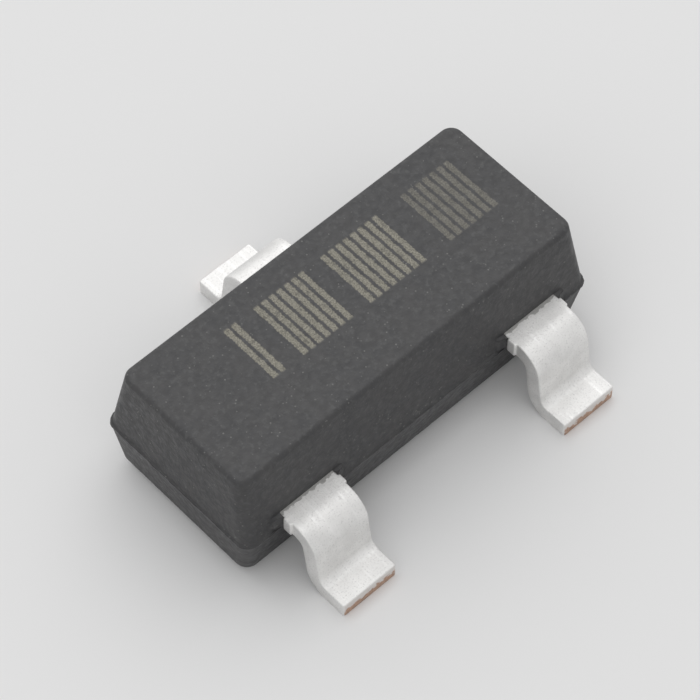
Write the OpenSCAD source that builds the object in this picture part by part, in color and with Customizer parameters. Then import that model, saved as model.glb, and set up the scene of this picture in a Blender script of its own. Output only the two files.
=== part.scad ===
// General purpose transistor in a three-lead surface-mount package.
// Millimetres. The origin is on the board, under the middle of the body.
// +X runs along the body from the base lead to the emitter lead, +Y points
// towards the collector lead, and +Z points away from the board.

/* [Moulded body] */
// Length of the body at the parting line
body_l = 2.92; // [2.80:0.01:3.04]
// Width of the body at the parting line
body_w = 1.30; // [1.24:0.01:1.40]
// Height of the top face above the board
body_top = 1.00; // [0.96:0.01:1.11]
// Gap between the underside of the body and the board
standoff = 0.06; // [0.02:0.01:0.10]
// Draft of the two long walls, in degrees
side_draft = 10; // [7:0.5:12]
// Draft of the two end walls, in degrees
end_draft = 6; // [4:0.5:7]
// Radius along the edges of the top and bottom faces
edge_r = 0.04; // [0.02:0.005:0.06]
// Radius of the four upright corners
corner_r = 0.09; // [0.07:0.005:0.12]
// How far the lower mould half stands out past the upper one
parting_step = 0.008; // [0.004:0.002:0.012]
// Width of the scar left by the mould gate
gate_w = 0.34; // [0.20:0.02:0.50]
// Height of the gate scar
gate_h = 0.13; // [0.08:0.01:0.18]
// How far the gate scar stands proud of the end wall
gate_proud = 0.014; // [0.008:0.002:0.020]

/* [Leads] */
// Thickness of the copper strip that the leads are stamped from
strip_t = 0.12; // [0.10:0.01:0.14]
// Height of the strip's lower face inside the body
strip_z = 0.43; // [0.40:0.01:0.45]
// Width of a lead outside the body
lead_w = 0.44; // [0.37:0.01:0.50]
// Distance between the base lead and the emitter lead
lead_pitch = 1.90; // [1.84:0.01:1.94]
// Distance across the body from tip to tip of the leads
lead_span = 2.40; // [2.36:0.01:2.64]
// Flat shoulder between the body and the first bend
shoulder = 0.115; // [0.105:0.005:0.13]
// Inside radius of both bends of a lead
bend_r = 0.07; // [0.05:0.005:0.08]
// Slope of the leg between the bends, in degrees
leg_angle = 82; // [74:1:88]
// Width of the cut stub where the dam bar was sheared off
dambar_w = 0.07; // [0.04:0.01:0.08]
// How far a dam bar stub stands out of the lead's side
dambar_stub = 0.014; // [0.008:0.002:0.020]

/* [Lead frame inside the body] */
// Moulding compound between the lead frame and the body's walls
frame_cover = 0.16; // [0.14:0.01:0.18]
// Gap between neighbouring pieces of the lead frame
frame_gap = 0.12; // [0.10:0.01:0.16]
// Length of the die paddle along the body
paddle_l = 1.00; // [0.90:0.02:1.06]
// Width of the die paddle across the body
paddle_w = 0.62; // [0.58:0.02:0.66]
// How far the paddle's middle lies towards the collector lead
paddle_y = 0.06; // [0.04:0.01:0.08]
// Size of a bonding post across the body
post_w = 0.50; // [0.46:0.02:0.56]
// Radius of the locking notches beside the paddle's neck
notch_r = 0.06; // [0.04:0.01:0.07]
// Corner radius of the stamped outlines
stamp_r = 0.04; // [0.02:0.01:0.06]

/* [Silicon die] */
// Side of the square die
die_l = 0.36; // [0.34:0.01:0.42]
// Thickness of the die
die_t = 0.18; // [0.15:0.01:0.20]
// Width of the saw street round the top of the die
street_w = 0.02; // [0.01:0.005:0.025]
// Height of the die's top above the saw street
street_d = 0.004; // [0.003:0.001:0.006]
// Thickness of the solder under the die
bond_line = 0.015; // [0.010:0.001:0.020]
// Reach of the solder fillet round the die
fillet_w = 0.03; // [0.02:0.005:0.04]
// Height that the solder fillet climbs up the die
fillet_h = 0.05; // [0.03:0.005:0.07]

/* [Contacts and bond wires] */
// Thickness of the aluminium contacts
metal_t = 0.003; // [0.002:0.001:0.004]
// Side of a bond pad
pad_l = 0.09; // [0.08:0.002:0.094]
// Distance between the middles of the two bond pads
pad_pitch = 0.21; // [0.20:0.005:0.215]
// Width of a contact finger
finger_w = 0.012; // [0.008:0.001:0.013]
// Gap between neighbouring contact fingers
finger_gap = 0.008; // [0.006:0.001:0.010]
// Number of fingers on the emitter contact
finger_n = 5; // [4:1:6]
// Diameter of the gold bond wire
wire_d = 0.025; // [0.018:0.001:0.030]
// Diameter of the ball bond
ball_d = 0.07; // [0.055:0.005:0.075]
// Height of the ball bond
ball_h = 0.02; // [0.015:0.001:0.025]
// Radius of the loop above the ball bond
loop_r = 0.05; // [0.04:0.005:0.055]
// Upright length of wire between the ball bond and the loop
neck_l = 0.045; // [0.03:0.005:0.06]
// Radius of the wire's bend near the stitch bond
land_r = 0.08; // [0.06:0.01:0.10]
// Slope at which the wire lands on the post, in degrees
land_slope = 12; // [10:1:15]
// Straight length of wire before the stitch bond
land_l = 0.05; // [0.04:0.005:0.06]
// Distance of the stitch bond from the post's edge beside the paddle
stitch_in = 0.11; // [0.09:0.01:0.13]
// Distance of the stitch bond from the post's edge nearest the collector side
stitch_back = 0.09; // [0.07:0.01:0.11]
// Thickness of the flattened stitch
stitch_t = 0.010; // [0.007:0.001:0.012]

/* [Hidden] */

$fn = 48;
CORNER_STEPS = 8;   // flats round a quarter of a rounded corner
FILLET_STEPS = 6;   // rings between a wall and the top or bottom face
BEND_FLAT = 8;      // degrees that one flat of a bend turns through, at most
WIRE_SIDES = 12;    // flats round a bond wire
LAP = 0.05;         // overlap of shapes that are fused into one piece
FEATHER = 0.004;    // thickness of the solder fillet where it ends

// Heights of the stack, from the board up
strip_top = strip_z + strip_t;
die_z = strip_top + bond_line;
die_top = die_z + die_t;
contact_top = die_top + metal_t;
ball_top = contact_top + ball_h;

// Lead frame outlines, worked out from the body's walls
wall_y = body_w / 2;
post_x_out = body_l / 2 - frame_cover;
post_x_in = paddle_l / 2 + frame_gap;
post_y_low = -(wall_y - frame_cover);
post_y_high = post_y_low + post_w;
paddle_top = paddle_y + paddle_w / 2;

// A lead's path: its middle line drops by strip_z over two equal bends
mid_r = bend_r + strip_t / 2;
leg_l = (strip_z - 2 * mid_r * (1 - cos(leg_angle))) / sin(leg_angle);
foot_l = lead_span / 2 - wall_y - shoulder - 2 * mid_r * sin(leg_angle) - leg_l * cos(leg_angle);
lead_path = [
    [frame_cover + LAP + shoulder, mid_r, -leg_angle],
    [leg_l, mid_r, leg_angle],
    [foot_l, 0, 0],
];

// A wire runs from a bond pad, at the first point, to its post, at the second
pad_point = [-pad_pitch / 2, paddle_y];
stitch_point = [-(post_x_in + stitch_in), post_y_high - stitch_back];
wire_reach = norm(stitch_point - pad_point);
wire_bearing = atan2(stitch_point.y - pad_point.y, stitch_point.x - pad_point.x);

// The long run is the straight line that touches both of the wire's bends
bend_ahead = wire_reach - loop_r + land_r * sin(land_slope) - land_l * cos(land_slope);
bend_below = ball_top + neck_l - strip_top - land_r * cos(land_slope) - land_l * sin(land_slope);
bend_away = norm([bend_ahead, bend_below]);
run_slope = atan2(bend_below, bend_ahead) + asin((loop_r + land_r) / bend_away);
run_l = sqrt(bend_away * bend_away - (loop_r + land_r) * (loop_r + land_r));
wire_path = [
    [neck_l + ball_h / 2, loop_r, -90 - run_slope],
    [run_l, land_r, run_slope - land_slope],
    [land_l, 0, 0],
];

// Colours
COMPOUND = [0.13, 0.13, 0.14];
TIN = [0.80, 0.80, 0.79];
SOLDER = [0.62, 0.62, 0.64];
SILICON = [0.30, 0.32, 0.38];
ALUMINIUM = [0.85, 0.86, 0.88];
GOLD = [0.90, 0.70, 0.28];

// Shapes used by several pieces

// Points round a level rectangle with round corners, of half sizes hx and hy, at height z.
function round_ring(z, hx, hy, r, steps) = [
    for (quarter = [0:3])
        for (i = [0:steps])
            let (
                a = 90 * (quarter + i / steps),
                cx = (quarter == 0 || quarter == 3) ? hx - r : r - hx,
                cy = quarter < 2 ? hy - r : r - hy
            )
            [cx + r * cos(a), cy + r * sin(a), z]
];

// A closed solid through rings of as many points each, which run anticlockwise seen from the last ring.
module skin(rings) {
    n = len(rings[0]);
    last = len(rings) - 1;
    walls = [
        for (k = [0:last - 1])
            for (i = [0:n - 1])
                [k * n + i, (k + 1) * n + i, (k + 1) * n + (i + 1) % n, k * n + (i + 1) % n]
    ];
    first_cap = [for (i = [0:n - 1]) i];
    last_cap = [for (i = [n - 1:-1:0]) last * n + i];
    polyhedron(
        points = [for (ring = rings) each ring],
        faces = concat([first_cap, last_cap], walls),
        convexity = 4
    );
}

// Steps [ahead, up, heading] round a bend that starts at such a step.
function bend_steps(at, radius, turn) =
    let (
        count = ceil(abs(turn) / BEND_FLAT),
        side = sign(turn) * radius,
        centre = [at[0] - side * sin(at[2]), at[1] + side * cos(at[2])]
    )
    [
        for (i = [1:count])
            let (heading = at[2] + turn * i / count)
            [centre.x + side * sin(heading), centre.y - side * cos(heading), heading]
    ];

// Steps along a path of [straight length, bend radius, turn], from the step at.
function walk(at, path, i = 0) =
    i == len(path)
    ? [at]
    : let (
        part = path[i],
        far = [at[0] + part[0] * cos(at[2]), at[1] + part[0] * sin(at[2]), at[2]],
        bend = part[1] > 0 ? bend_steps(far, part[1], part[2]) : [],
        onward = part[1] > 0 ? bend[len(bend) - 1] : far
    )
    concat(part[1] > 0 ? [at, far, for (k = [0:1:len(bend) - 2]) bend[k]] : [at], walk(onward, path, i + 1));

// The line that runs beside a path's steps, off to the left of the heading.
function beside(steps, off) = [
    for (p = steps)
        [p[0] - off * sin(p[2]), p[1] + off * cos(p[2])]
];

function reversed(list) = [for (i = [len(list) - 1:-1:0]) list[i]];

// A strip of the given width and thickness, bent along a path in the YZ plane.
module bent_strip(steps, width, thickness) {
    translate([-width / 2, 0, 0])
        rotate([90, 0, 90])
            linear_extrude(width)
                polygon(concat(
                    beside(steps, thickness / 2),
                    reversed(beside(steps, -thickness / 2))
                ));
}

// A round wire bent along a path in the YZ plane.
module bent_wire(steps, diameter) {
    skin([
        for (p = steps)
            [
                for (i = [0:WIRE_SIDES - 1])
                    let (
                        a = 360 * (i + 0.5) / WIRE_SIDES,
                        across = diameter / 2 * cos(a),
                        off = diameter / 2 * sin(a)
                    )
                    [across, p[0] + off * sin(p[2]), p[1] - off * cos(p[2])]
            ]
    ]);
}

// A flat rectangle between two corners.
module plate_2d(low, high) {
    translate(low)
        square(high - low);
}

// Moulded body

// Rings from the parting line to the flat face h away from it. way is 1 above and -1 below.
function half_body_rings(length, width, h, way) =
    let (
        end_c = length / 2 - (h - edge_r) * tan(end_draft) - edge_r / cos(end_draft),
        side_c = width / 2 - (h - edge_r) * tan(side_draft) - edge_r / cos(side_draft)
    )
    [
        round_ring(strip_z, length / 2, width / 2, corner_r, CORNER_STEPS),
        for (i = [0:FILLET_STEPS])
            let (a = side_draft + (90 - side_draft) * i / FILLET_STEPS)
            round_ring(
                strip_z + way * (h - edge_r + edge_r * sin(a)),
                end_c + edge_r * cos(a),
                side_c + edge_r * cos(a),
                corner_r - edge_r * (1 - cos(a)),
                CORNER_STEPS
            ),
    ];

module body_outside() {
    upper = half_body_rings(body_l, body_w, body_top - strip_z, 1);
    lower = half_body_rings(
        body_l + 2 * parting_step, body_w + 2 * parting_step, strip_z - standoff, -1
    );
    skin(concat(reversed(lower), upper));
}

// Broken-off stub of compound where the mould was filled, on the emitter end.
module gate_scar() {
    translate([body_l / 2 - LAP, -gate_w / 2, strip_z])
        cube([LAP + gate_proud, gate_w, gate_h]);
}

module moulded_body() {
    color(COMPOUND)
        difference() {
            union() {
                body_outside();
                gate_scar();
            }
            collector_lead();
            base_lead();
            emitter_lead();
            die_attach();
            silicon_die();
            base_contact();
            emitter_contact();
            base_bond_wire();
            emitter_bond_wire();
        }
}

// Leads

// The formed part of a lead at x = 0, running out through the wall towards +Y and down to the board.
module formed_lead() {
    start = [wall_y - frame_cover - LAP, strip_z + strip_t / 2, 0];
    bent_strip(walk(start, lead_path), lead_w, strip_t);
    translate([-lead_w / 2 - dambar_stub, wall_y + (shoulder - dambar_w) / 2, strip_z])
        cube([lead_w + 2 * dambar_stub, dambar_w, strip_t]);
}

// A stamped outline from low to high, with round corners.
module stamped_2d(low, high) {
    translate(low + [stamp_r, 0])
        square(high - low - [2 * stamp_r, 0]);
    translate(low + [0, stamp_r])
        square(high - low - [0, 2 * stamp_r]);
    for (x = [low.x + stamp_r, high.x - stamp_r], y = [low.y + stamp_r, high.y - stamp_r])
        translate([x, y])
            circle(stamp_r);
}

// Paddle for the die, with the neck that joins it to the collector lead.
module paddle_2d() {
    difference() {
        union() {
            stamped_2d([-paddle_l / 2, paddle_y - paddle_w / 2], [paddle_l / 2, paddle_top]);
            plate_2d([-lead_w / 2, paddle_y], [lead_w / 2, wall_y - frame_cover]);
        }
        for (side = [-1, 1])
            translate([side * lead_w / 2, paddle_top])
                circle(notch_r);
    }
}

// Post that a wire is stitched to, for the lead at -X. It widens behind the wall, which locks the lead in.
module post_2d() {
    stamped_2d([-post_x_out, post_y_low], [-post_x_in, post_y_high]);
}

module collector_lead() {
    color(TIN) {
        translate([0, 0, strip_z])
            linear_extrude(strip_t)
                paddle_2d();
        formed_lead();
    }
}

module base_lead() {
    color(TIN) {
        translate([0, 0, strip_z])
            linear_extrude(strip_t)
                post_2d();
        translate([-lead_pitch / 2, 0, 0])
            rotate(180)
                formed_lead();
    }
}

module emitter_lead() {
    mirror([1, 0, 0])
        base_lead();
}

// Die and its solder

module die_at_origin() {
    linear_extrude(die_t - street_d)
        square(die_l, center = true);
    translate([0, 0, die_t - street_d - street_d])
        linear_extrude(2 * street_d)
            square(die_l - 2 * street_w, center = true);
}

module silicon_die() {
    color(SILICON)
        translate([0, paddle_y, die_z])
            die_at_origin();
}

// Solder bed under the die, with a fillet that climbs its sides.
module die_attach() {
    // Reach past the die, corner radius and height of each ring
    slope = [
        [fillet_w, fillet_w, strip_top],
        [fillet_w, fillet_w, strip_top + bond_line / 2],
        [fillet_w / 3, fillet_w / 2, die_z + fillet_h / 3],
        [FEATHER, FEATHER, die_z + fillet_h],
    ];
    color(SOLDER)
        difference() {
            translate([0, paddle_y, 0])
                skin([
                    for (k = slope)
                        round_ring(k[2], die_l / 2 + k[0], die_l / 2 + k[0], k[1], 3)
                ]);
            translate([0, paddle_y, die_z])
                linear_extrude(die_t)
                    square(die_l, center = true);
        }
}

// Aluminium contacts on top of the die

finger_step = 2 * (finger_w + finger_gap);
spine_x = pad_pitch / 2 - pad_l / 2;
finger_l = 2 * spine_x - finger_w - finger_gap;

// A bond pad at -X with a comb of count fingers that reach towards +X.
module contact_2d(count) {
    comb_h = (count - 1) * finger_step + finger_w;
    translate([-pad_pitch / 2, 0])
        square(pad_l, center = true);
    translate([-spine_x - finger_w / 2, -comb_h / 2])
        square([finger_w, comb_h]);
    for (i = [0:count - 1])
        translate([-spine_x, (i - (count - 1) / 2) * finger_step - finger_w / 2])
            square([finger_l, finger_w]);
}

module base_contact() {
    color(ALUMINIUM)
        translate([0, paddle_y, die_top])
            linear_extrude(metal_t)
                contact_2d(finger_n + 1);
}

module emitter_contact() {
    color(ALUMINIUM)
        translate([0, paddle_y, die_top])
            mirror([1, 0, 0])
                linear_extrude(metal_t)
                    contact_2d(finger_n);
}

// Bond wires

// The squashed gold ball on a bond pad.
module ball_bond() {
    intersection() {
        translate([0, 0, ball_h * 0.4])
            sphere(ball_d / 2);
        cylinder(h = ball_h, r = ball_d);
    }
}

// The wire's flattened end on the post, pointing along +Y.
module stitch_bond() {
    fan = [[-0.5, -1], [0.5, -1], [1.1, 0.8], [0.7, 1.3], [-0.7, 1.3], [-1.1, 0.8]];
    linear_extrude(stitch_t)
        polygon(fan * wire_d);
}

module base_bond_wire() {
    color(GOLD) {
        translate([pad_point.x, pad_point.y, contact_top])
            ball_bond();
        difference() {
            translate([pad_point.x, pad_point.y, 0])
                rotate(wire_bearing - 90)
                    bent_wire(walk([0, contact_top + ball_h / 2, 90], wire_path), wire_d);
            translate([stitch_point.x, stitch_point.y, strip_top - wire_d])
                cylinder(h = wire_d, r = 6 * wire_d);
        }
        translate([stitch_point.x, stitch_point.y, strip_top])
            rotate(wire_bearing - 90)
                stitch_bond();
    }
}

module emitter_bond_wire() {
    mirror([1, 0, 0])
        base_bond_wire();
}

moulded_body();
collector_lead();
base_lead();
emitter_lead();
die_attach();
silicon_die();
base_contact();
emitter_contact();
base_bond_wire();
emitter_bond_wire();
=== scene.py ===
"""Looks of a small surface-mount transistor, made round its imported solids.

Lengths are in millimetres, as on a drawing of the part, until a finished mesh is scaled to metres.
In the part's frame, +X runs along the body from the base lead to the emitter lead, +Y points to the
collector lead, and +Z points up from the board.
"""

import math

import bmesh
import bpy
import numpy as np
from mathutils import Matrix, Vector, noise


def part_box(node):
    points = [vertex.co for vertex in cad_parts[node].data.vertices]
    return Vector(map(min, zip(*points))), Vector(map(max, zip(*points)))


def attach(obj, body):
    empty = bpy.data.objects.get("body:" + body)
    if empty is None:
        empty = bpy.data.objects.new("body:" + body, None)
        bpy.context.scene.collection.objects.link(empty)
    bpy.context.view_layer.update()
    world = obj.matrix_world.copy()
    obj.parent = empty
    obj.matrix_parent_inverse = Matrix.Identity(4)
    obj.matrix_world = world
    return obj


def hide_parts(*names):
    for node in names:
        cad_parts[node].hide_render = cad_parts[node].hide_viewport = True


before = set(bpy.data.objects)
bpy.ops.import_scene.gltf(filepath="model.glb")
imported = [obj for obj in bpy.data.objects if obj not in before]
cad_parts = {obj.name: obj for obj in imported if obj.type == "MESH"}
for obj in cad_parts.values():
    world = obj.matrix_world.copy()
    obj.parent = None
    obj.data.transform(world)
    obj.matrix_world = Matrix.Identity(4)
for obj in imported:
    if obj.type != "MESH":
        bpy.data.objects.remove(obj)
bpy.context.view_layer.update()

MM = 0.001  # metres in a millimetre


def box_mm(node):
    """Lowest and highest corner of a CAD node, in millimetres, without the file's rounding."""
    return [np.round(np.array(corner) / MM, decimals=4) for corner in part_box(node)]


# Sizes that the frame gives
BODY_LOW, BODY_HIGH = box_mm("moulded_body")
COLLECTOR_LOW, COLLECTOR_HIGH = box_mm("collector_lead")
BASE_LOW, BASE_HIGH = box_mm("base_lead")
BODY_TOP = BODY_HIGH[2]
BODY_UNDERSIDE = BODY_LOW[2]
STRIP_TOP = COLLECTOR_HIGH[2]
TOE_Y = COLLECTOR_HIGH[1]

# Driving sizes of the moulding, as in the solids
PARTING_STEP = 0.008
SIDE_DRAFT = math.radians(10)
END_DRAFT = math.radians(6)
EDGE_R = 0.04
CORNER_R = 0.09
GATE_HALF_W = 0.17
GATE_H = 0.13

# Driving sizes of the leads, as in the solids
STRIP_T = 0.12
LEAD_W = 0.44
LEAD_PITCH = 1.90
SHOULDER = 0.115
BEND_R = 0.07
LEG_ANGLE = math.radians(82)
DAMBAR_W = 0.07
DAMBAR_STUB = 0.014
PADDLE_W = 0.62
POST_W = 0.50
STAMP_R = 0.04
NOTCH_R = 0.06

# Places and lengths that follow from them
PARTING_Z = STRIP_TOP - STRIP_T
LOWER_HALF = np.array([-BODY_LOW[0], BODY_HIGH[1]])  # half length and half width, lower mould half
UPPER_HALF = LOWER_HALF - PARTING_STEP
WALL_Y = UPPER_HALF[1]
GATE_X = BODY_HIGH[0]
FOOT_X = LEAD_PITCH / 2  # middle of the base and emitter leads, either side of the part's middle
FORM_START = WALL_Y + SHOULDER  # where a lead starts to bend, from the middle of the body
MID_R = BEND_R + STRIP_T / 2  # radius of a bend, at the middle of the strip
BEND_LENGTH = MID_R * LEG_ANGLE
BEND_REACH = MID_R * math.sin(LEG_ANGLE)
BEND_DROP = MID_R * (1 - math.cos(LEG_ANGLE))
LEG_LENGTH = (PARTING_Z - 2 * BEND_DROP) / math.sin(LEG_ANGLE)
FOOT_LENGTH = TOE_Y - FORM_START - 2 * BEND_REACH - LEG_LENGTH * math.cos(LEG_ANGLE)
BLANK_END = FORM_START + 2 * BEND_LENGTH + LEG_LENGTH + FOOT_LENGTH


# Meshes

SAME_POINT = 1e-5  # points nearer to each other than this are taken as one
SEED_STEPS = (7.31, 3.17, 5.43)  # how far one seed's noise lies from the next one's
OCTAVE_FALL = 0.9  # how fast the finer octaves of the noise grow weaker
OCTAVE_RATIO = 2.0  # size of one octave's features over the size of the next one's


def grain(points, size, seed, octaves=3):
    """Smooth noise from about -1 to 1 at each point, with features of the given size."""
    offset = Vector([seed * step for step in SEED_STEPS])
    return np.array(
        [
            noise.fractal(Vector(p) / size + offset, OCTAVE_FALL, OCTAVE_RATIO, octaves)
            for p in points
        ]
    )


def arc(centre, r, start, end, steps):
    """Points along an arc between two angles in degrees."""
    angles = np.radians(np.linspace(start, end, steps + 1))
    return [(centre[0] + r * math.cos(a), centre[1] + r * math.sin(a)) for a in angles]


def face_outward(bm):
    """Turns all faces of a closed mesh outward."""
    bmesh.ops.recalc_face_normals(bm, faces=bm.faces)
    if bm.calc_volume(signed=True) < 0:
        bmesh.ops.reverse_faces(bm, faces=bm.faces)


def link_mesh(name, mesh):
    """A new object of the scene that shows a mesh."""
    obj = bpy.data.objects.new(name, mesh)
    bpy.context.scene.collection.objects.link(obj)
    return obj


def closed_object(name, points, faces):
    """A closed object in millimetres, which finish_piece later scales to metres."""
    mesh = bpy.data.meshes.new(name)
    mesh.from_pydata([tuple(p) for p in points], [], faces)
    mesh.update()
    bm = bmesh.new()
    bm.from_mesh(mesh)
    face_outward(bm)
    bm.to_mesh(mesh)
    bm.free()
    return link_mesh(name, mesh)


def bridge(rings):
    """Points and faces of a closed skin through rings of as many points each, with flat ends."""
    count = len(rings[0])
    points = np.vstack(rings)
    faces = []
    for k in range(len(rings) - 1):
        for i in range(count):
            j = (i + 1) % count
            faces.append(
                (k * count + i, k * count + j, (k + 1) * count + j, (k + 1) * count + i)
            )
    last = (len(rings) - 1) * count
    faces.append(tuple(reversed(range(count))))
    faces.append(tuple(range(last, last + count)))
    return points, faces


def combine(obj, operation, others):
    """Unites obj with the other shapes, or takes them out of it, one after another."""
    for other in others:
        modifier = obj.modifiers.new("combine", "BOOLEAN")
        modifier.operation = operation
        modifier.solver = "MANIFOLD"
        modifier.object = other
        evaluated = obj.evaluated_get(bpy.context.evaluated_depsgraph_get())
        result = bpy.data.meshes.new_from_object(evaluated)
        obj.modifiers.clear()
        spent = obj.data
        obj.data = result
        bpy.data.meshes.remove(spent)
    obj.data.materials.clear()  # which also forgets the toes' second material


def welded_copy(node):
    """A closed copy of a CAD node in millimetres, to cut with."""
    bm = bmesh.new()
    bm.from_mesh(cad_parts[node].data)
    for v in bm.verts:
        v.co = Vector([round(c / MM, ndigits=5) for c in v.co])
    bmesh.ops.remove_doubles(bm, verts=bm.verts, dist=SAME_POINT)
    mesh = bpy.data.meshes.new(node + "_copy")
    bm.to_mesh(mesh)
    bm.free()
    return link_mesh(node + "_copy", mesh)


def smooth(obj, sharp_degrees):
    """Shades smooth, apart from edges that are sharper than the angle."""
    for polygon in obj.data.polygons:
        polygon.use_smooth = True
    obj.data.set_sharp_from_angle(angle=math.radians(sharp_degrees))


def dress(obj, *materials):
    """Gives a new piece its materials, in the order that its faces count them."""
    for material in materials:
        obj.data.materials.append(material)


def finish_piece(obj, slot, *nodes):
    """Scales a piece to metres and puts it in the place of its CAD node."""
    obj.data.transform(Matrix.Scale(MM, 4))
    obj.data.update()
    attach(obj, "root")
    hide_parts(*nodes)


# Moulded body: rings round the part, from the underside to the top

CORNER_CUTS = 14  # faces round an upright corner
LONG_CUTS = 130  # faces along a long wall
SHORT_CUTS = 56  # faces along an end wall
LOWER_ROWS = 12  # rows of faces on the walls of the lower mould half
UPPER_ROWS = 22  # rows of faces on the walls of the upper mould half
FILLET_CUTS = 8  # rows of faces round the edge between the walls and a flat face
CAP_CUTS = 14  # rows of faces from that edge to the middle of the flat face
CAP_HALF = 0.02  # half width of the last ring on a flat face
CAP_CROWDING = 1.2  # above 1, the rings lie closer together near the edge
CAP_ROUNDING = 0.6  # how fast the corners of those rings grow rounder


def outline(half, r, z):
    """Points round a level rectangle with round corners, anticlockwise from the right."""
    x, y = half - r
    corners = [
        arc(middle, r, 90 * k, 90 * (k + 1), CORNER_CUTS)
        for k, middle in enumerate([(x, y), (-x, y), (-x, -y), (x, -y)])
    ]
    points = []
    for k, corner in enumerate(corners):
        start, end = np.array(corner[-1]), np.array(corners[(k + 1) % 4][0])
        cuts = LONG_CUTS if k % 2 == 0 else SHORT_CUTS
        points += corner
        points += [start + (end - start) * i / cuts for i in range(1, cuts)]
    return np.array([(*point, z) for point in points])


def shell_rings(half, height, way, rows):
    """Rings of one mould half, from the parting line to the middle of its flat face.

    half is half its length and width at the parting line. way is 1 for the upper mould half and
    -1 for the lower one.
    """
    drafts = np.array([END_DRAFT, SIDE_DRAFT])
    level = height - EDGE_R
    centre = half - level * np.tan(drafts) - EDGE_R / np.cos(drafts)

    def fillet(a):
        """Half sizes, corner radius and height of the ring at the angle a round the edge."""
        inward = EDGE_R * (1 - math.cos(a))
        return centre + EDGE_R * math.cos(a), CORNER_R - inward, level + EDGE_R * math.sin(a)

    top_half, top_r, top_h = fillet(SIDE_DRAFT)
    rings = []
    for i in range(rows):
        share = (FLASH_T / 2 + (top_h - FLASH_T / 2) * i / rows) / top_h
        ring_half = half + (top_half - half) * share
        ring_r = CORNER_R + (top_r - CORNER_R) * share
        rings.append(outline(ring_half, ring_r, PARTING_Z + way * top_h * share))
    for i in range(FILLET_CUTS + 1):
        ring_half, ring_r, h = fillet(SIDE_DRAFT + (math.pi / 2 - SIDE_DRAFT) * i / FILLET_CUTS)
        rings.append(outline(ring_half, ring_r, PARTING_Z + way * h))
    for i in range(1, CAP_CUTS + 1):
        inward = (centre[1] - CAP_HALF) * (i / CAP_CUTS) ** CAP_CROWDING
        ring_r = min(CORNER_R - EDGE_R + CAP_ROUNDING * inward, centre[1] - inward)
        rings.append(outline(centre - inward, ring_r, PARTING_Z + way * height))
    return rings


# The thin flash on the parting line
FLASH_T = 0.006
FLASH_SLANT = 0.001  # how much less its upper edge stands out than its lower one
FLASH_REACH = 0.003  # how far it stands out, apart from its unevenness
FLASH_WANDER = 0.004  # how much its unevenness adds or takes away
FLASH_FINE = 0.6  # strength of its finer unevenness
FLASH_RANGE = (-0.5, 1.5)  # lowest and highest unevenness that is let through
FLASH_CORNER_POWER = 7  # odd, and high enough to turn the flash only round the corners


def flash_ring(half, z):
    """One outer edge of the flash, which is uneven."""
    ring = outline(half, CORNER_R, z)
    level = ring * (1, 1, 0)
    uneven = grain(level, size=0.11, seed=3) + FLASH_FINE * grain(level, size=0.03, seed=5)
    reach = FLASH_REACH + FLASH_WANDER * np.clip(uneven, *FLASH_RANGE)
    outward = (ring[:, :2] / half) ** FLASH_CORNER_POWER
    outward /= np.linalg.norm(outward, axis=1)[:, None]
    ring[:, :2] += outward * reach[:, None]
    return ring


# The scar where the gate broke off
SCAR_ZONE = 0.06  # points nearer to the end wall than this may belong to it
SCAR_WANDER = 0.020  # how far its outline wanders
SCAR_RIM = 0.010  # width of the slope round it
SCAR_DEPTH = 0.010  # depth of its roughness


def gate_scar(points):
    """Pushes out the patch on the emitter end where the gate broke off, and roughens it."""
    x, y, z = points.T
    end_on = points * (0.2, 1, 1)  # so that the noise hardly varies through the wall
    edge = SCAR_WANDER * grain(end_on, size=0.05, seed=8)
    across = np.clip((GATE_HALF_W + edge - np.abs(y)) / SCAR_RIM, 0, 1)
    below = np.clip((PARTING_Z + GATE_H + edge - z) / SCAR_RIM, 0, 1)
    in_zone = (x > UPPER_HALF[0] - SCAR_ZONE) & (z > PARTING_Z - FLASH_T)
    rough = 0.5 + 0.6 * grain(end_on, size=0.045, seed=11, octaves=4)  # mostly from 0 to 1
    target = GATE_X - SCAR_DEPTH * np.clip(rough, 0, 1)
    moved = points.copy()
    moved[:, 0] += across * below * in_zone * (target - x)
    return moved


def make_body_outside():
    """The body as one closed skin, with its flash and gate scar and nothing cut out."""
    lower = shell_rings(LOWER_HALF, PARTING_Z - BODY_UNDERSIDE, -1, LOWER_ROWS)
    upper = shell_rings(UPPER_HALF, BODY_TOP - PARTING_Z, 1, UPPER_ROWS)
    flash = [
        flash_ring(LOWER_HALF, PARTING_Z - FLASH_T / 2),
        flash_ring(LOWER_HALF - FLASH_SLANT, PARTING_Z + FLASH_T / 2),
    ]
    points, faces = bridge(lower[::-1] + flash + upper)
    return closed_object("epoxy_body", gate_scar(points), faces)


# Section of a resin remnant, as (distance from the lead's side, distance from the wall)
REMNANT = [
    (-0.02, -0.04),
    (0.085, -0.04),
    (0.070, 0.000),
    (0.048, 0.006),
    (0.030, 0.008),
    (0.014, 0.015),
    (0.002, 0.020),
    (-0.02, 0.021),
]
REMNANT_BOTTOM = PARTING_Z + 0.004  # a little above the lead's underside
REMNANT_H = STRIP_T - 0.012  # so that it ends a little below the lead's upper face
REMNANT_LEVELS = 7
REMNANT_NOISE = (0.7, 0.6, 3.1)  # steps in the noise from point to point, level and remnant
REMNANT_ROUGH_OUT = 0.55  # share by which the distance from the wall varies
REMNANT_ROUGH_ALONG = 0.25  # share by which the distance from the lead varies


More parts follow.
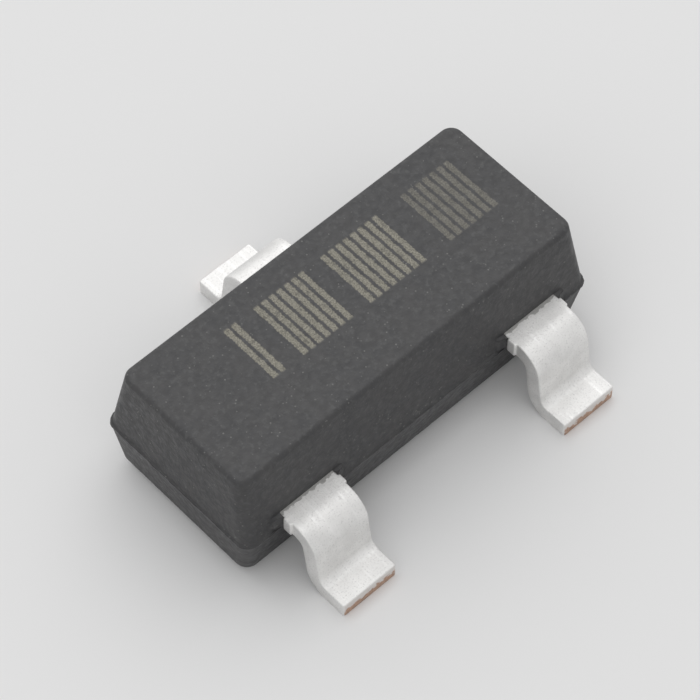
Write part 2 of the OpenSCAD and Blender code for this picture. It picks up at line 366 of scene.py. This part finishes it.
def resin_remnant(lead_x, side, way, seed):
    """Broken edge of the resin that filled the corner between wall, lead and dam bar.

    side is the side of the lead that it lies on, and way is the side of the body, each 1 or -1.
    """
    rings = []
    for level in range(REMNANT_LEVELS):
        z = REMNANT_BOTTOM + level / (REMNANT_LEVELS - 1) * REMNANT_H
        ring = []
        for i, (off, out) in enumerate(REMNANT):
            place = [count * step for count, step in zip((i, level, seed), REMNANT_NOISE)]
            rough = noise.noise(Vector(place))
            out *= 1 + REMNANT_ROUGH_OUT * rough if out > 0 else 1
            off *= 1 + REMNANT_ROUGH_ALONG * rough if off > 0 else 1
            ring.append((lead_x + side * (LEAD_W / 2 + off), way * (WALL_Y + out), z))
        rings.append(np.array(ring))
    points, faces = bridge(rings)
    return closed_object("resin_remnant", points, faces)


def make_remnants():
    """The remnants on both sides of each lead, to be united with the body."""
    return [
        resin_remnant(lead_x, side, way, seed=number * 2 + side)
        for number, (lead_x, way) in enumerate([(0, 1), (-FOOT_X, -1), (FOOT_X, -1)])
        for side in (-1, 1)
    ]


# Leads, stamped flat and then bent

# In a flat blank, x runs across the lead and s runs outward along it.
ROLL_R = 0.010  # rounding that the punch leaves on the upper edges
BURR_R = 0.004  # rounding of the lower edges
TOE_R = 0.016  # rounding of a toe's two corners
STUB_OUTER_R = 0.0105  # rounding of a dam-bar stub's outer corners
STUB_INNER_R = 0.004  # rounding where a stub meets the lead
NECK_R = 0.003  # rounding where a post meets the lead
ROUND_STEPS = 5  # flats round a rounded corner
NOTCH_STEPS = 18  # flats round a locking notch


def rounded(corners):
    """An outline through corners of (x, s, radius), with an arc in place of each corner."""
    points = []
    count = len(corners)
    for i, (x, s, r) in enumerate(corners):
        if r <= 0:
            points.append((x, s))
            continue
        here = np.array([x, s])
        before = np.array(corners[i - 1][:2]) - here
        after = np.array(corners[(i + 1) % count][:2]) - here
        before /= np.linalg.norm(before)
        after /= np.linalg.norm(after)
        half = math.acos(np.clip(before @ after, -1, 1)) / 2
        reach = r / math.tan(half)
        centre = here + (before + after) / np.linalg.norm(before + after) * r / math.sin(half)
        first = math.atan2(*(here + before * reach - centre)[::-1])
        last = math.atan2(*(here + after * reach - centre)[::-1])
        turn = (last - first + math.pi) % (2 * math.pi) - math.pi
        points += arc(centre, r, math.degrees(first), math.degrees(first + turn), ROUND_STEPS)
    return points


def notch(x, s, start):
    """Corners along a locking notch: three quarters of a turn clockwise from the angle start."""
    return [(px, ps, 0) for px, ps in arc((x, s), NOTCH_R, start, start - 270, NOTCH_STEPS)]


def strip_corners(side):
    """Corners along one side of a lead, from the body to the toe for side 1, and back for -1."""
    stub_start = WALL_Y + (SHOULDER - DAMBAR_W) / 2
    x, out = side * LEAD_W / 2, side * (LEAD_W / 2 + DAMBAR_STUB)
    corners = [
        (x, stub_start, STUB_INNER_R),
        (out, stub_start, STUB_OUTER_R),
        (out, stub_start + DAMBAR_W, STUB_OUTER_R),
        (x, stub_start + DAMBAR_W, STUB_INNER_R),
        (x, BLANK_END, TOE_R),
    ]
    return corners if side > 0 else corners[::-1]


def collector_outline():
    """Die paddle, neck with two locking notches, and lead."""
    low, high, half = COLLECTOR_LOW[1], COLLECTOR_LOW[1] + PADDLE_W, COLLECTOR_HIGH[0]
    neck = LEAD_W / 2
    return rounded(
        [
            (-half, low, STAMP_R),
            (half, low, STAMP_R),
            (half, high, STAMP_R),
            *notch(neck, high, 0),
            *strip_corners(1),
            *strip_corners(-1),
            *notch(-neck, high, 90),
            (-half, high, STAMP_R),
        ]
    )


def post_outline():
    """Bonding post and lead of the emitter, with x towards the part's middle."""
    inner, outer = BASE_HIGH[0] + FOOT_X, BASE_LOW[0] + FOOT_X
    back, front = -BASE_HIGH[1], POST_W - BASE_HIGH[1]
    neck = LEAD_W / 2
    return rounded(
        [
            (outer, back, STAMP_R),
            (inner, back, STAMP_R),
            (inner, front, STAMP_R),
            (neck, front, NECK_R),
            *strip_corners(1),
            *strip_corners(-1),
            (-neck, front, NECK_R),
            (outer, front, STAMP_R),
        ]
    )


def inset(points, distance):
    """The outline moved inward by a small distance."""
    p = np.array(points)
    ahead = np.roll(p, -1, axis=0) - p
    behind = p - np.roll(p, 1, axis=0)
    ahead /= np.linalg.norm(ahead, axis=1)[:, None]
    behind /= np.linalg.norm(behind, axis=1)[:, None]
    tangent = ahead + behind
    length = np.linalg.norm(tangent, axis=1)
    inward = np.stack([-tangent[:, 1], tangent[:, 0]], axis=1) / length[:, None]
    return p + inward * (distance / (length / 2))[:, None]


ROLL_STEPS = 4  # flats round a rolled upper edge
BURR_MIDDLE = 0.3  # share of its radius where the middle of a lower edge's rounding lies
LOWER_RIM = 0.012  # from the outline to the last ring on the lower face
UPPER_RIM = 0.013  # from the outline to the last ring on the upper face


def blank(points):
    """Points and faces of a stamped blank: a flat outline with its thickness and rolled edges."""
    half = STRIP_T / 2
    middle = BURR_R * BURR_MIDDLE
    levels = [(LOWER_RIM, -half), (BURR_R, -half), (middle, -half + middle), (0, -half + BURR_R)]
    levels += [(0, -half / 2), (0, 0), (0, half / 2 - ROLL_R / 2)]
    for i in range(ROLL_STEPS + 1):
        a = math.pi / 2 * i / ROLL_STEPS
        levels.append((ROLL_R * (1 - math.cos(a)), half - ROLL_R * (1 - math.sin(a))))
    levels.append((UPPER_RIM, half))
    rings = [np.column_stack([inset(points, d), np.full(len(points), n)]) for d, n in levels]
    return bridge(rings)


CUTS_ALONG = 11  # side by side, between the sides of a lead
CUT_MARGIN = 0.03  # from a lead's side to the first of them
CUT_STEP = 0.0125  # from one cut across a lead to the next
CUT_END = 0.02  # how far inside the wall, and how near to the toe, the cuts across run


def slice_blank(bm):
    """Cuts a blank along and across, so that it bends in small steps."""
    reach = LEAD_W / 2 - CUT_MARGIN
    planes = [((x, 0, 0), (1, 0, 0)) for x in np.linspace(-reach, reach, CUTS_ALONG)]
    lengths = np.arange(WALL_Y - CUT_END, BLANK_END - CUT_END, CUT_STEP)
    planes += [((0, s, 0), (0, 1, 0)) for s in lengths]
    for place, normal in planes:
        geometry = [*bm.verts, *bm.edges, *bm.faces]
        bmesh.ops.bisect_plane(
            bm, geom=geometry, plane_co=place, plane_no=normal, dist=SAME_POINT
        )


TOE_ZONE = 0.002  # the middle of a sheared face lies nearer to the blank's end than this
TOE_FACING = 0.8  # and its normal points along the lead by more than this


def mark_toe(bm):
    """Gives the sheared end of a blank the second material."""
    for face in bm.faces:
        at_end = face.calc_center_median().y > BLANK_END - TOE_ZONE
        face.material_index = 1 if at_end and face.normal.y > TOE_FACING else 0


WAVE_DEPTH, WAVE_SIZE = 0.0006, 0.15  # of the slight waves in the plating
RIPPLE_DEPTH, RIPPLE_SIZE = 0.0004, 0.03  # of the finer ones on them
WAVES_START = 0.01  # distance from the wall where they begin
WAVES_RISE = 0.03  # length over which they grow to their full depth
FACING_DOWN = -0.1  # points whose normal has a lower z than this lie on the underside


def wavy_points(bm, seed):
    """Places of a blank's points with the waves in its plating. The underside stays flat."""
    flat = np.array([v.co for v in bm.verts])
    normals = np.array([v.normal for v in bm.verts])
    waves = WAVE_DEPTH * grain(flat, WAVE_SIZE, seed)
    waves += RIPPLE_DEPTH * grain(flat, RIPPLE_SIZE, seed + 1)
    waves *= np.clip((flat[:, 1] - WALL_Y - WAVES_START) / WAVES_RISE, 0, 1)
    waves[normals[:, 2] < FACING_DOWN] = 0
    return flat + normals * waves[:, None]


def along(s):
    """Place (outward, up) and heading of the strip's middle at the length s of the flat blank."""
    y, z, heading = min(s, FORM_START), PARTING_Z + STRIP_T / 2, 0.0
    s -= y
    for length, turn in ((BEND_LENGTH, -1), (LEG_LENGTH, 0), (BEND_LENGTH, 1), (s, 0)):
        step = min(max(s, 0), length)
        if turn:
            side = turn * MID_R
            centre_y, centre_z = y - side * math.sin(heading), z + side * math.cos(heading)
            heading += step / side
            y, z = centre_y + side * math.sin(heading), centre_z - side * math.cos(heading)
        else:
            y, z = y + step * math.cos(heading), z + step * math.sin(heading)
        s -= step
    return y, z, heading


def formed_lead(name, outline_points, place, seed):
    """Stamps, slices and bends a lead. place turns (x, outward, up) into the part's frame."""
    obj = closed_object(name, *blank(outline_points))
    bm = bmesh.new()
    bm.from_mesh(obj.data)
    slice_blank(bm)
    bm.normal_update()
    mark_toe(bm)
    for v, (x, s, n) in zip(bm.verts, wavy_points(bm, seed)):
        y, z, heading = along(s)
        v.co = Vector(place(x, y - n * math.sin(heading), z + n * math.cos(heading)))
    face_outward(bm)
    bm.to_mesh(obj.data)
    bm.free()
    return obj


def make_leads():
    """The three leads. The base lead is the emitter lead's mirror image."""
    collector = formed_lead(
        "plated_collector_lead", collector_outline(), lambda x, y, z: (x, y, z), seed=20
    )
    base = formed_lead(
        "plated_base_lead", post_outline(), lambda x, y, z: (x - FOOT_X, -y, z), seed=30
    )
    emitter = formed_lead(
        "plated_emitter_lead", post_outline(), lambda x, y, z: (FOOT_X - x, -y, z), seed=40
    )
    return {"collector_lead": collector, "base_lead": base, "emitter_lead": emitter}


# Materials

NOISE_LOW, NOISE_HIGH = 0.3, 0.7  # nearly all values of a noise texture lie between them


class Material:
    """A procedural material, with short ways to add the nodes that this script uses."""

    def __init__(self, name, roughness, metallic=0.0):
        self.material = bpy.data.materials.new(name)
        self.material.use_nodes = True
        self.tree = self.material.node_tree
        self.shader = self.tree.nodes["Principled BSDF"]
        self.shader.inputs["Roughness"].default_value = roughness
        self.shader.inputs["Metallic"].default_value = metallic
        self.place = self.add("ShaderNodeTexCoord").outputs["Object"]

    def add(self, kind, **settings):
        """A new node of a kind, with its settings."""
        node = self.tree.nodes.new(kind)
        for key, value in settings.items():
            setattr(node, key, value)
        return node

    def link(self, source, target):
        """Feeds an output into an input."""
        self.tree.links.new(source, target)

    def feed(self, value, socket):
        """Gives an input its value: an output, a number or a colour."""
        if isinstance(value, (int, float)):
            socket.default_value = value
        elif isinstance(value, tuple):
            socket.default_value = (*value, 1.0)
        else:
            self.link(value, socket)

    def noise(self, size, detail, place=None):
        """Noise from 0 to 1 with features of the given size in millimetres."""
        node = self.add("ShaderNodeTexNoise")
        node.inputs["Scale"].default_value = 1 / (size * MM)
        node.inputs["Detail"].default_value = detail
        self.link(place or self.place, node.inputs["Vector"])
        return node.outputs["Fac"]

    def cells(self, size):
        """Distance to the nearest of scattered points, about size millimetres apart."""
        node = self.add("ShaderNodeTexVoronoi")
        node.inputs["Scale"].default_value = 1 / (size * MM)
        self.link(self.place, node.inputs["Vector"])
        return node.outputs["Distance"]

    def ramp(self, value, low, high, to_low=0.0, to_high=1.0):
        """Maps value smoothly from low..high to to_low..to_high, and holds it beyond."""
        node = self.add("ShaderNodeMapRange", interpolation_type="SMOOTHSTEP")
        numbers = {"From Min": low, "From Max": high, "To Min": to_low, "To Max": to_high}
        for key, number in numbers.items():
            node.inputs[key].default_value = number
        self.link(value, node.inputs["Value"])
        return node.outputs["Result"]

    def spread(self, value, to_low=0.0, to_high=1.0):
        """Maps the usual range of a noise to to_low..to_high."""
        return self.ramp(value, NOISE_LOW, NOISE_HIGH, to_low, to_high)

    def edge(self, value, low, high):
        """Goes from 0 to 1 between two lengths in millimetres."""
        return self.ramp(value, low * MM, high * MM)

    def maths(self, operation, *values):
        """Arithmetic on up to three values, each an output or a number."""
        node = self.add("ShaderNodeMath", operation=operation)
        for value, socket in zip(values, node.inputs):
            self.feed(value, socket)
        return node.outputs[0]

    def times(self, a, b):
        """Product of two values."""
        return self.maths("MULTIPLY", a, b)

    def mix(self, factor, a, b):
        """Blends two colours, each an output or a tuple."""
        node = self.add("ShaderNodeMix", data_type="RGBA")
        self.link(factor, node.inputs["Factor"])
        first_colour, second_colour = node.inputs[6], node.inputs[7]
        self.feed(a, first_colour)
        self.feed(b, second_colour)
        return node.outputs[2]

    def axes(self):
        """The coordinates X, Y and Z of the shaded point, in metres."""
        node = self.add("ShaderNodeSeparateXYZ")
        self.link(self.place, node.inputs[0])
        return node.outputs

    def bump(self, height, depth, before=None):
        """A bump of depth millimetres, on top of an earlier one."""
        node = self.add("ShaderNodeBump")
        node.inputs["Strength"].default_value = 1.0
        node.inputs["Distance"].default_value = depth * MM
        self.link(height, node.inputs["Height"])
        if before is not None:
            self.link(before, node.inputs["Normal"])
        return node.outputs["Normal"]

    def finish(self, colour, roughness, normal):
        """Feeds the shader, and gives the material."""
        self.link(colour, self.shader.inputs["Base Color"])
        self.link(roughness, self.shader.inputs["Roughness"])
        self.link(normal, self.shader.inputs["Normal"])
        return self.material


# Laser marks: plain hatched fields on the top face, all on one set of evenly spaced lines
LINE_X = 0.03  # line number 0
LINE_PITCH = 0.062  # from one pass of the laser to the next
LINE_WOBBLE = 0.003
SPOT_PITCH = 0.026  # from one pulse to the next along a pass
SPOT_R = 0.025
SPOT_CORE = 0.7  # share of the radius that is bleached in full
MARK_LOW, MARK_HIGH = -0.11, 0.35  # where the lines begin and end
MARK_SOFT = 0.01  # half width of the soft ends of the lines
MARK_DEPTH = 0.01  # nothing lower than this under the top face is marked
MARKS = [(-12, -11, 1.0), (-8, -2, 1.0), (1, 8, 1.0), (12, 18, 0.5)]  # first, last line, strength


def laser_spots(m, x, y, z):
    """How strongly the laser has bleached each point: rows of overlapping round spots."""
    wobble = m.spread(m.noise(size=0.05, detail=2.0), -LINE_WOBBLE * MM, LINE_WOBBLE * MM)
    off = m.maths("ADD", m.maths("SUBTRACT", x, LINE_X * MM), wobble)
    from_line = m.maths("PINGPONG", off, LINE_PITCH / 2 * MM)
    from_pulse = m.maths("PINGPONG", y, SPOT_PITCH / 2 * MM)
    squares = m.maths("ADD", m.maths("POWER", from_line, 2.0), m.maths("POWER", from_pulse, 2.0))
    spots = m.edge(m.maths("SQRT", squares), SPOT_R, SPOT_CORE * SPOT_R)
    fields = 0.0
    for first, last, strength in MARKS:
        middle, reach = (first + last) / 2, (last - first + 1) / 2
        inside = m.maths("COMPARE", off, middle * LINE_PITCH * MM, reach * LINE_PITCH * MM)
        fields = m.maths("ADD", m.times(inside, strength), fields)
    above = m.edge(y, MARK_LOW - MARK_SOFT, MARK_LOW + MARK_SOFT)
    below = m.edge(y, MARK_HIGH + MARK_SOFT, MARK_HIGH - MARK_SOFT)
    on_top = m.maths("GREATER_THAN", z, (BODY_TOP - MARK_DEPTH) * MM)
    region = m.times(m.times(above, below), on_top)
    return m.times(m.times(spots, fields), region)


BREAK_FADE = (0.0135, 0.0115)  # depths under the gate's end between which its rough look fades in
BREAK_HALF_W = GATE_HALF_W + 0.03  # nothing farther from the middle of the end wall has that look


def broken_gate(m, x, y, z):
    """Where the rough break of the gate scar shows."""
    low, high = BREAK_FADE
    proud = m.edge(x, GATE_X - low, GATE_X - high)
    above = m.edge(z, PARTING_Z + FLASH_T / 2, PARTING_Z + FLASH_T)
    within = m.maths("LESS_THAN", m.maths("ABSOLUTE", y), BREAK_HALF_W * MM)
    return m.times(proud, m.times(above, within))


EPOXY_IOR = 1.57  # of resin filled with silica
COMPOUND_DARK, COMPOUND_LIGHT = (0.029, 0.029, 0.031), (0.036, 0.035, 0.036)
COMPOUND_PIT = (0.050, 0.050, 0.051)
FILLER = (0.12, 0.12, 0.115)
ASH_DARK, ASH_LIGHT = (0.155, 0.147, 0.121), (0.33, 0.313, 0.260)
CRUMB_DARK, CRUMB_LIGHT = (0.036, 0.036, 0.036), (0.095, 0.095, 0.092)
WORKED_ROUGHER = 0.25  # roughness that the laser and the break add


def epoxy():
    """Black moulding compound: spark-eroded grain, pale filler specks and laser marks."""
    m = Material("moulding_compound", roughness=0.55)
    m.shader.inputs["IOR"].default_value = EPOXY_IOR
    mottle = m.noise(size=0.16, detail=3.0)
    pits = m.noise(size=0.030, detail=2.0)
    fine = m.noise(size=0.010, detail=3.0)
    colour = m.mix(m.spread(mottle), COMPOUND_DARK, COMPOUND_LIGHT)
    colour = m.mix(m.ramp(pits, low=0.52, high=0.72), colour, COMPOUND_PIT)
    speck = m.ramp(m.cells(size=0.028), low=0.24, high=0.16)
    chosen = m.ramp(m.noise(size=0.045, detail=1.0), low=0.54, high=0.66)
    colour = m.mix(m.times(speck, chosen), colour, FILLER)

    x, y, z = m.axes()
    laser = laser_spots(m, x, y, z)
    ash = m.mix(m.spread(fine), ASH_DARK, ASH_LIGHT)
    patchy = m.ramp(pits, low=0.25, high=0.5, to_low=0.55, to_high=0.95)
    colour = m.mix(m.times(laser, patchy), colour, ash)
    broken = broken_gate(m, x, y, z)
    crumbs = m.mix(m.ramp(fine, low=0.3, high=0.65), CRUMB_DARK, CRUMB_LIGHT)
    colour = m.mix(broken, colour, crumbs)

    worked = m.maths("MAXIMUM", laser, broken)
    rough = m.spread(m.noise(size=0.05, detail=3.0), 0.44, 0.60)
    rough = m.maths("ADD", rough, m.times(worked, WORKED_ROUGHER))
    engraved = m.maths("SUBTRACT", m.times(fine, worked), laser)
    normal = m.bump(engraved, depth=0.003, before=m.bump(pits, depth=0.005))
    return m.finish(colour, rough, normal)


DRAWN = (1.0, 0.04, 0.04)  # stretches noise into lines along a lead
TIN_DARK, TIN_LIGHT = (0.75, 0.745, 0.735), (0.83, 0.825, 0.815)
TIN_GRIT = (0.66, 0.655, 0.65)
RESIN_BLEED = (0.16, 0.155, 0.14)
BLEED_FULL, BLEED_NONE = -0.002, 0.008  # distances from the wall with the most bleed and with none
BLEED_OUT, BLEED_BACK = 0.008, 0.014  # how far its edge wanders out and back
BLEED_STRENGTH = 0.55


def tin():
    """Matte tin plating: fine grain, drag lines from forming, and resin bled out along the wall."""
    m = Material("matte_tin", roughness=0.42, metallic=1.0)
    patch = m.noise(size=0.12, detail=4.0)
    grit = m.noise(size=0.011, detail=3.0)
    drawn = m.add("ShaderNodeMapping")
    drawn.inputs["Scale"].default_value = DRAWN
    m.link(m.place, drawn.inputs["Vector"])
    lines = m.noise(size=0.014, detail=2.0, place=drawn.outputs["Vector"])
    colour = m.mix(m.spread(patch), TIN_DARK, TIN_LIGHT)
    colour = m.mix(m.ramp(grit, low=0.55, high=0.75), colour, TIN_GRIT)

    from_wall = m.maths("SUBTRACT", m.maths("ABSOLUTE", m.axes()["Y"]), WALL_Y * MM)
    ragged = m.spread(m.noise(size=0.04, detail=5.0), -BLEED_OUT * MM, BLEED_BACK * MM)
    bleed = m.edge(m.maths("ADD", from_wall, ragged), BLEED_NONE, BLEED_FULL)
    colour = m.mix(m.times(bleed, BLEED_STRENGTH), colour, RESIN_BLEED)

    rough = m.maths("ADD", m.spread(patch, 0.52, 0.60), m.spread(grit, 0.0, 0.10))
    polished = m.ramp(lines, low=0.52, high=0.70, to_high=0.14)
    rough = m.maths("SUBTRACT", rough, polished)
    normal = m.bump(lines, depth=0.0010, before=m.bump(grit, depth=0.0016))
    return m.finish(colour, rough, normal)


COPPER_DARK, COPPER_LIGHT = (0.42, 0.27, 0.20), (0.62, 0.44, 0.34)
TIN_SMEAR = (0.76, 0.74, 0.72)
SMEAR_LOW, SMEAR_HIGH = 0.052, 0.068  # heights on a toe's end: bare below, smeared above
SMEAR_RAGGED = 0.035  # how far those heights wander


def bare_copper():
    """Copper alloy of a toe's end, sheared after plating, with tin smeared down from the top."""
    m = Material("sheared_copper", roughness=0.45, metallic=1.0)
    wander = m.noise(size=0.05, detail=4.0)
    reach = SMEAR_RAGGED * MM
    ragged = m.ramp(wander, low=0.25, high=0.75, to_low=-reach, to_high=reach)
    smear = m.edge(m.maths("ADD", m.axes()["Z"], ragged), SMEAR_LOW, SMEAR_HIGH)
    grit = m.noise(size=0.018, detail=4.0)
    copper = m.mix(m.spread(grit), COPPER_DARK, COPPER_LIGHT)
    colour = m.mix(smear, copper, TIN_SMEAR)
    rough = m.spread(grit, 0.36, 0.58)
    return m.finish(colour, rough, m.bump(grit, depth=0.003))


def simple_metal(name, dark, light, rough_low, rough_high, size):
    """A metal with patches of colour of the given size, and finer roughness and bumps."""
    m = Material(name, rough_low, metallic=1.0)
    colour = m.mix(m.spread(m.noise(size, detail=3.0)), dark, light)
    rough = m.spread(m.noise(size / 4, detail=3.0), rough_low, rough_high)
    return m.finish(colour, rough, m.bump(m.noise(size / 6, detail=3.0), depth=size / 100))


def silicon():
    """Polished silicon with a faint cloud of oxide colour."""
    m = Material("silicon_die", roughness=0.12)
    cloud = m.spread(m.noise(size=0.12, detail=2.0))
    colour = m.mix(cloud, (0.10, 0.11, 0.15), (0.16, 0.15, 0.22))
    rough = m.spread(m.noise(size=0.03, detail=3.0), 0.08, 0.2)
    return m.finish(colour, rough, m.bump(m.noise(size=0.02, detail=2.0), depth=0.0002))


# The part

INNER_NODES = [
    "die_attach",
    "silicon_die",
    "base_contact",
    "emitter_contact",
    "base_bond_wire",
    "emitter_bond_wire",
]
SOLDER = [(0.42, 0.42, 0.45), (0.55, 0.55, 0.57)]
ALUMINIUM = [(0.78, 0.79, 0.81), (0.86, 0.87, 0.89)]
GOLD = [(0.90, 0.62, 0.20), (0.98, 0.74, 0.32)]
BODY_SHARP, LEAD_SHARP = 32, 40  # degrees: edges with a larger angle are shaded sharp


def make_body(leads):
    """The moulded body, which fits closely round all that it holds."""
    body = make_body_outside()
    remnants = make_remnants()
    inner_shapes = [welded_copy(node) for node in INNER_NODES]
    combine(body, "UNION", remnants)
    combine(body, "DIFFERENCE", [*leads.values(), *inner_shapes])
    for spent in (*remnants, *inner_shapes):
        bpy.data.meshes.remove(spent.data)
    return body


def dress_inner_nodes():
    """Gives the CAD nodes inside the body their materials."""
    solder = simple_metal("die_solder", *SOLDER, rough_low=0.35, rough_high=0.55, size=0.08)
    aluminium = simple_metal("contact_film", *ALUMINIUM, rough_low=0.18, rough_high=0.3, size=0.03)
    gold = simple_metal("bond_gold", *GOLD, rough_low=0.15, rough_high=0.28, size=0.03)
    finishes = [solder, silicon(), aluminium, aluminium, gold, gold]
    for node, finish in zip(INNER_NODES, finishes):
        for material_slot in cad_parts[node].material_slots:
            material_slot.material = finish


leads = make_leads()
body = make_body(leads)
smooth(body, BODY_SHARP)
dress(body, epoxy())
finish_piece(body, "epoxy", "moulded_body")

plating, copper = tin(), bare_copper()
for node, lead in leads.items():
    smooth(lead, LEAD_SHARP)
    dress(lead, plating, copper)
    finish_piece(lead, "lead_finish", node)
dress_inner_nodes()


# Floor, light and camera

FLOOR_HALF = 0.4  # metres
FLOOR_COLOUR = (0.80, 0.80, 0.80)


def direction(azimuth, elevation):
    """Unit vector towards a light or camera. Azimuth 0 is in front, at -Y."""
    a, e = math.radians(azimuth), math.radians(elevation)
    return Vector((math.sin(a) * math.cos(e), -math.cos(a) * math.cos(e), math.sin(e)))


def plain(name, colour, roughness):
    """A material of one colour, without gloss."""
    material = bpy.data.materials.new(name)
    material.use_nodes = True
    shader = material.node_tree.nodes["Principled BSDF"]
    shader.inputs["Base Color"].default_value = (*colour, 1.0)
    shader.inputs["Roughness"].default_value = roughness
    shader.inputs["Specular IOR Level"].default_value = 0.0
    return material


def make_floor():
    """A wide, pale floor at the height of the board."""
    corners = [(-1, -1), (1, -1), (1, 1), (-1, 1)]
    points = [(x * FLOOR_HALF, y * FLOOR_HALF, 0) for x, y in corners]
    mesh = bpy.data.meshes.new("floor")
    mesh.from_pydata(points, [], [(0, 1, 2, 3)])
    floor = link_mesh("floor", mesh)
    floor.data.materials.append(plain("pale_floor", FLOOR_COLOUR, roughness=0.7))


def make_light(name, azimuth, elevation, distance, size, share):
    """A soft square lamp that faces the part. distance and size are in metres.

    share sets its power: the brightness that the lamp alone, if it were small, gives a white floor.
    """
    towards = direction(azimuth, elevation)
    lamp = bpy.data.lights.new(name, "AREA")
    lamp.energy = share * (math.pi * distance) ** 2 / math.sin(math.radians(elevation))
    lamp.size = size
    obj = bpy.data.objects.new(name, lamp)
    obj.location = towards * distance
    obj.rotation_euler = towards.to_track_quat("Z", "Y").to_euler()
    bpy.context.scene.collection.objects.link(obj)


def make_world(level, backdrop):
    """Even light all round. Seen directly or in a reflection, it has the backdrop's brightness."""
    world = bpy.data.worlds.new("studio")
    world.use_nodes = True
    nodes, links = world.node_tree.nodes, world.node_tree.links
    ray = nodes.new("ShaderNodeLightPath")
    seen = ray.outputs["Is Camera Ray"]
    for kind in ("Is Glossy Ray", "Is Transmission Ray"):
        either = nodes.new("ShaderNodeMath")
        either.operation = "MAXIMUM"
        links.new(seen, either.inputs[0])
        links.new(ray.outputs[kind], either.inputs[1])
        seen = either.outputs[0]
    strength = nodes.new("ShaderNodeMapRange")
    strength.inputs["To Min"].default_value = level
    strength.inputs["To Max"].default_value = backdrop
    links.new(seen, strength.inputs["Value"])
    nodes["Background"].inputs["Color"].default_value = (1, 1, 1, 1)
    links.new(strength.outputs["Result"], nodes["Background"].inputs["Strength"])
    bpy.context.scene.world = world


def make_camera(azimuth, elevation, distance, lens, aim):
    """The camera, aimed at a point. distance and aim are in millimetres."""
    back = direction(azimuth, elevation)
    data = bpy.data.cameras.new("camera")
    data.lens = lens
    data.clip_start = 0.0005  # metres
    data.clip_end = 2.0
    camera = bpy.data.objects.new("camera", data)
    camera.location = Vector(aim) * MM + back * distance * MM
    camera.rotation_euler = back.to_track_quat("Z", "Y").to_euler()
    bpy.context.scene.collection.objects.link(camera)
    bpy.context.scene.camera = camera


make_floor()
make_world(level=0.64, backdrop=0.80)
make_light("key", azimuth=150, elevation=58, distance=0.07, size=0.10, share=0.43)
make_light("fill", azimuth=-75, elevation=45, distance=0.06, size=0.05, share=0.06)
make_camera(azimuth=-43, elevation=57, distance=22.0, lens=180, aim=(0, 0, 0.42))
bpy.context.scene.view_settings.view_transform = "Standard"
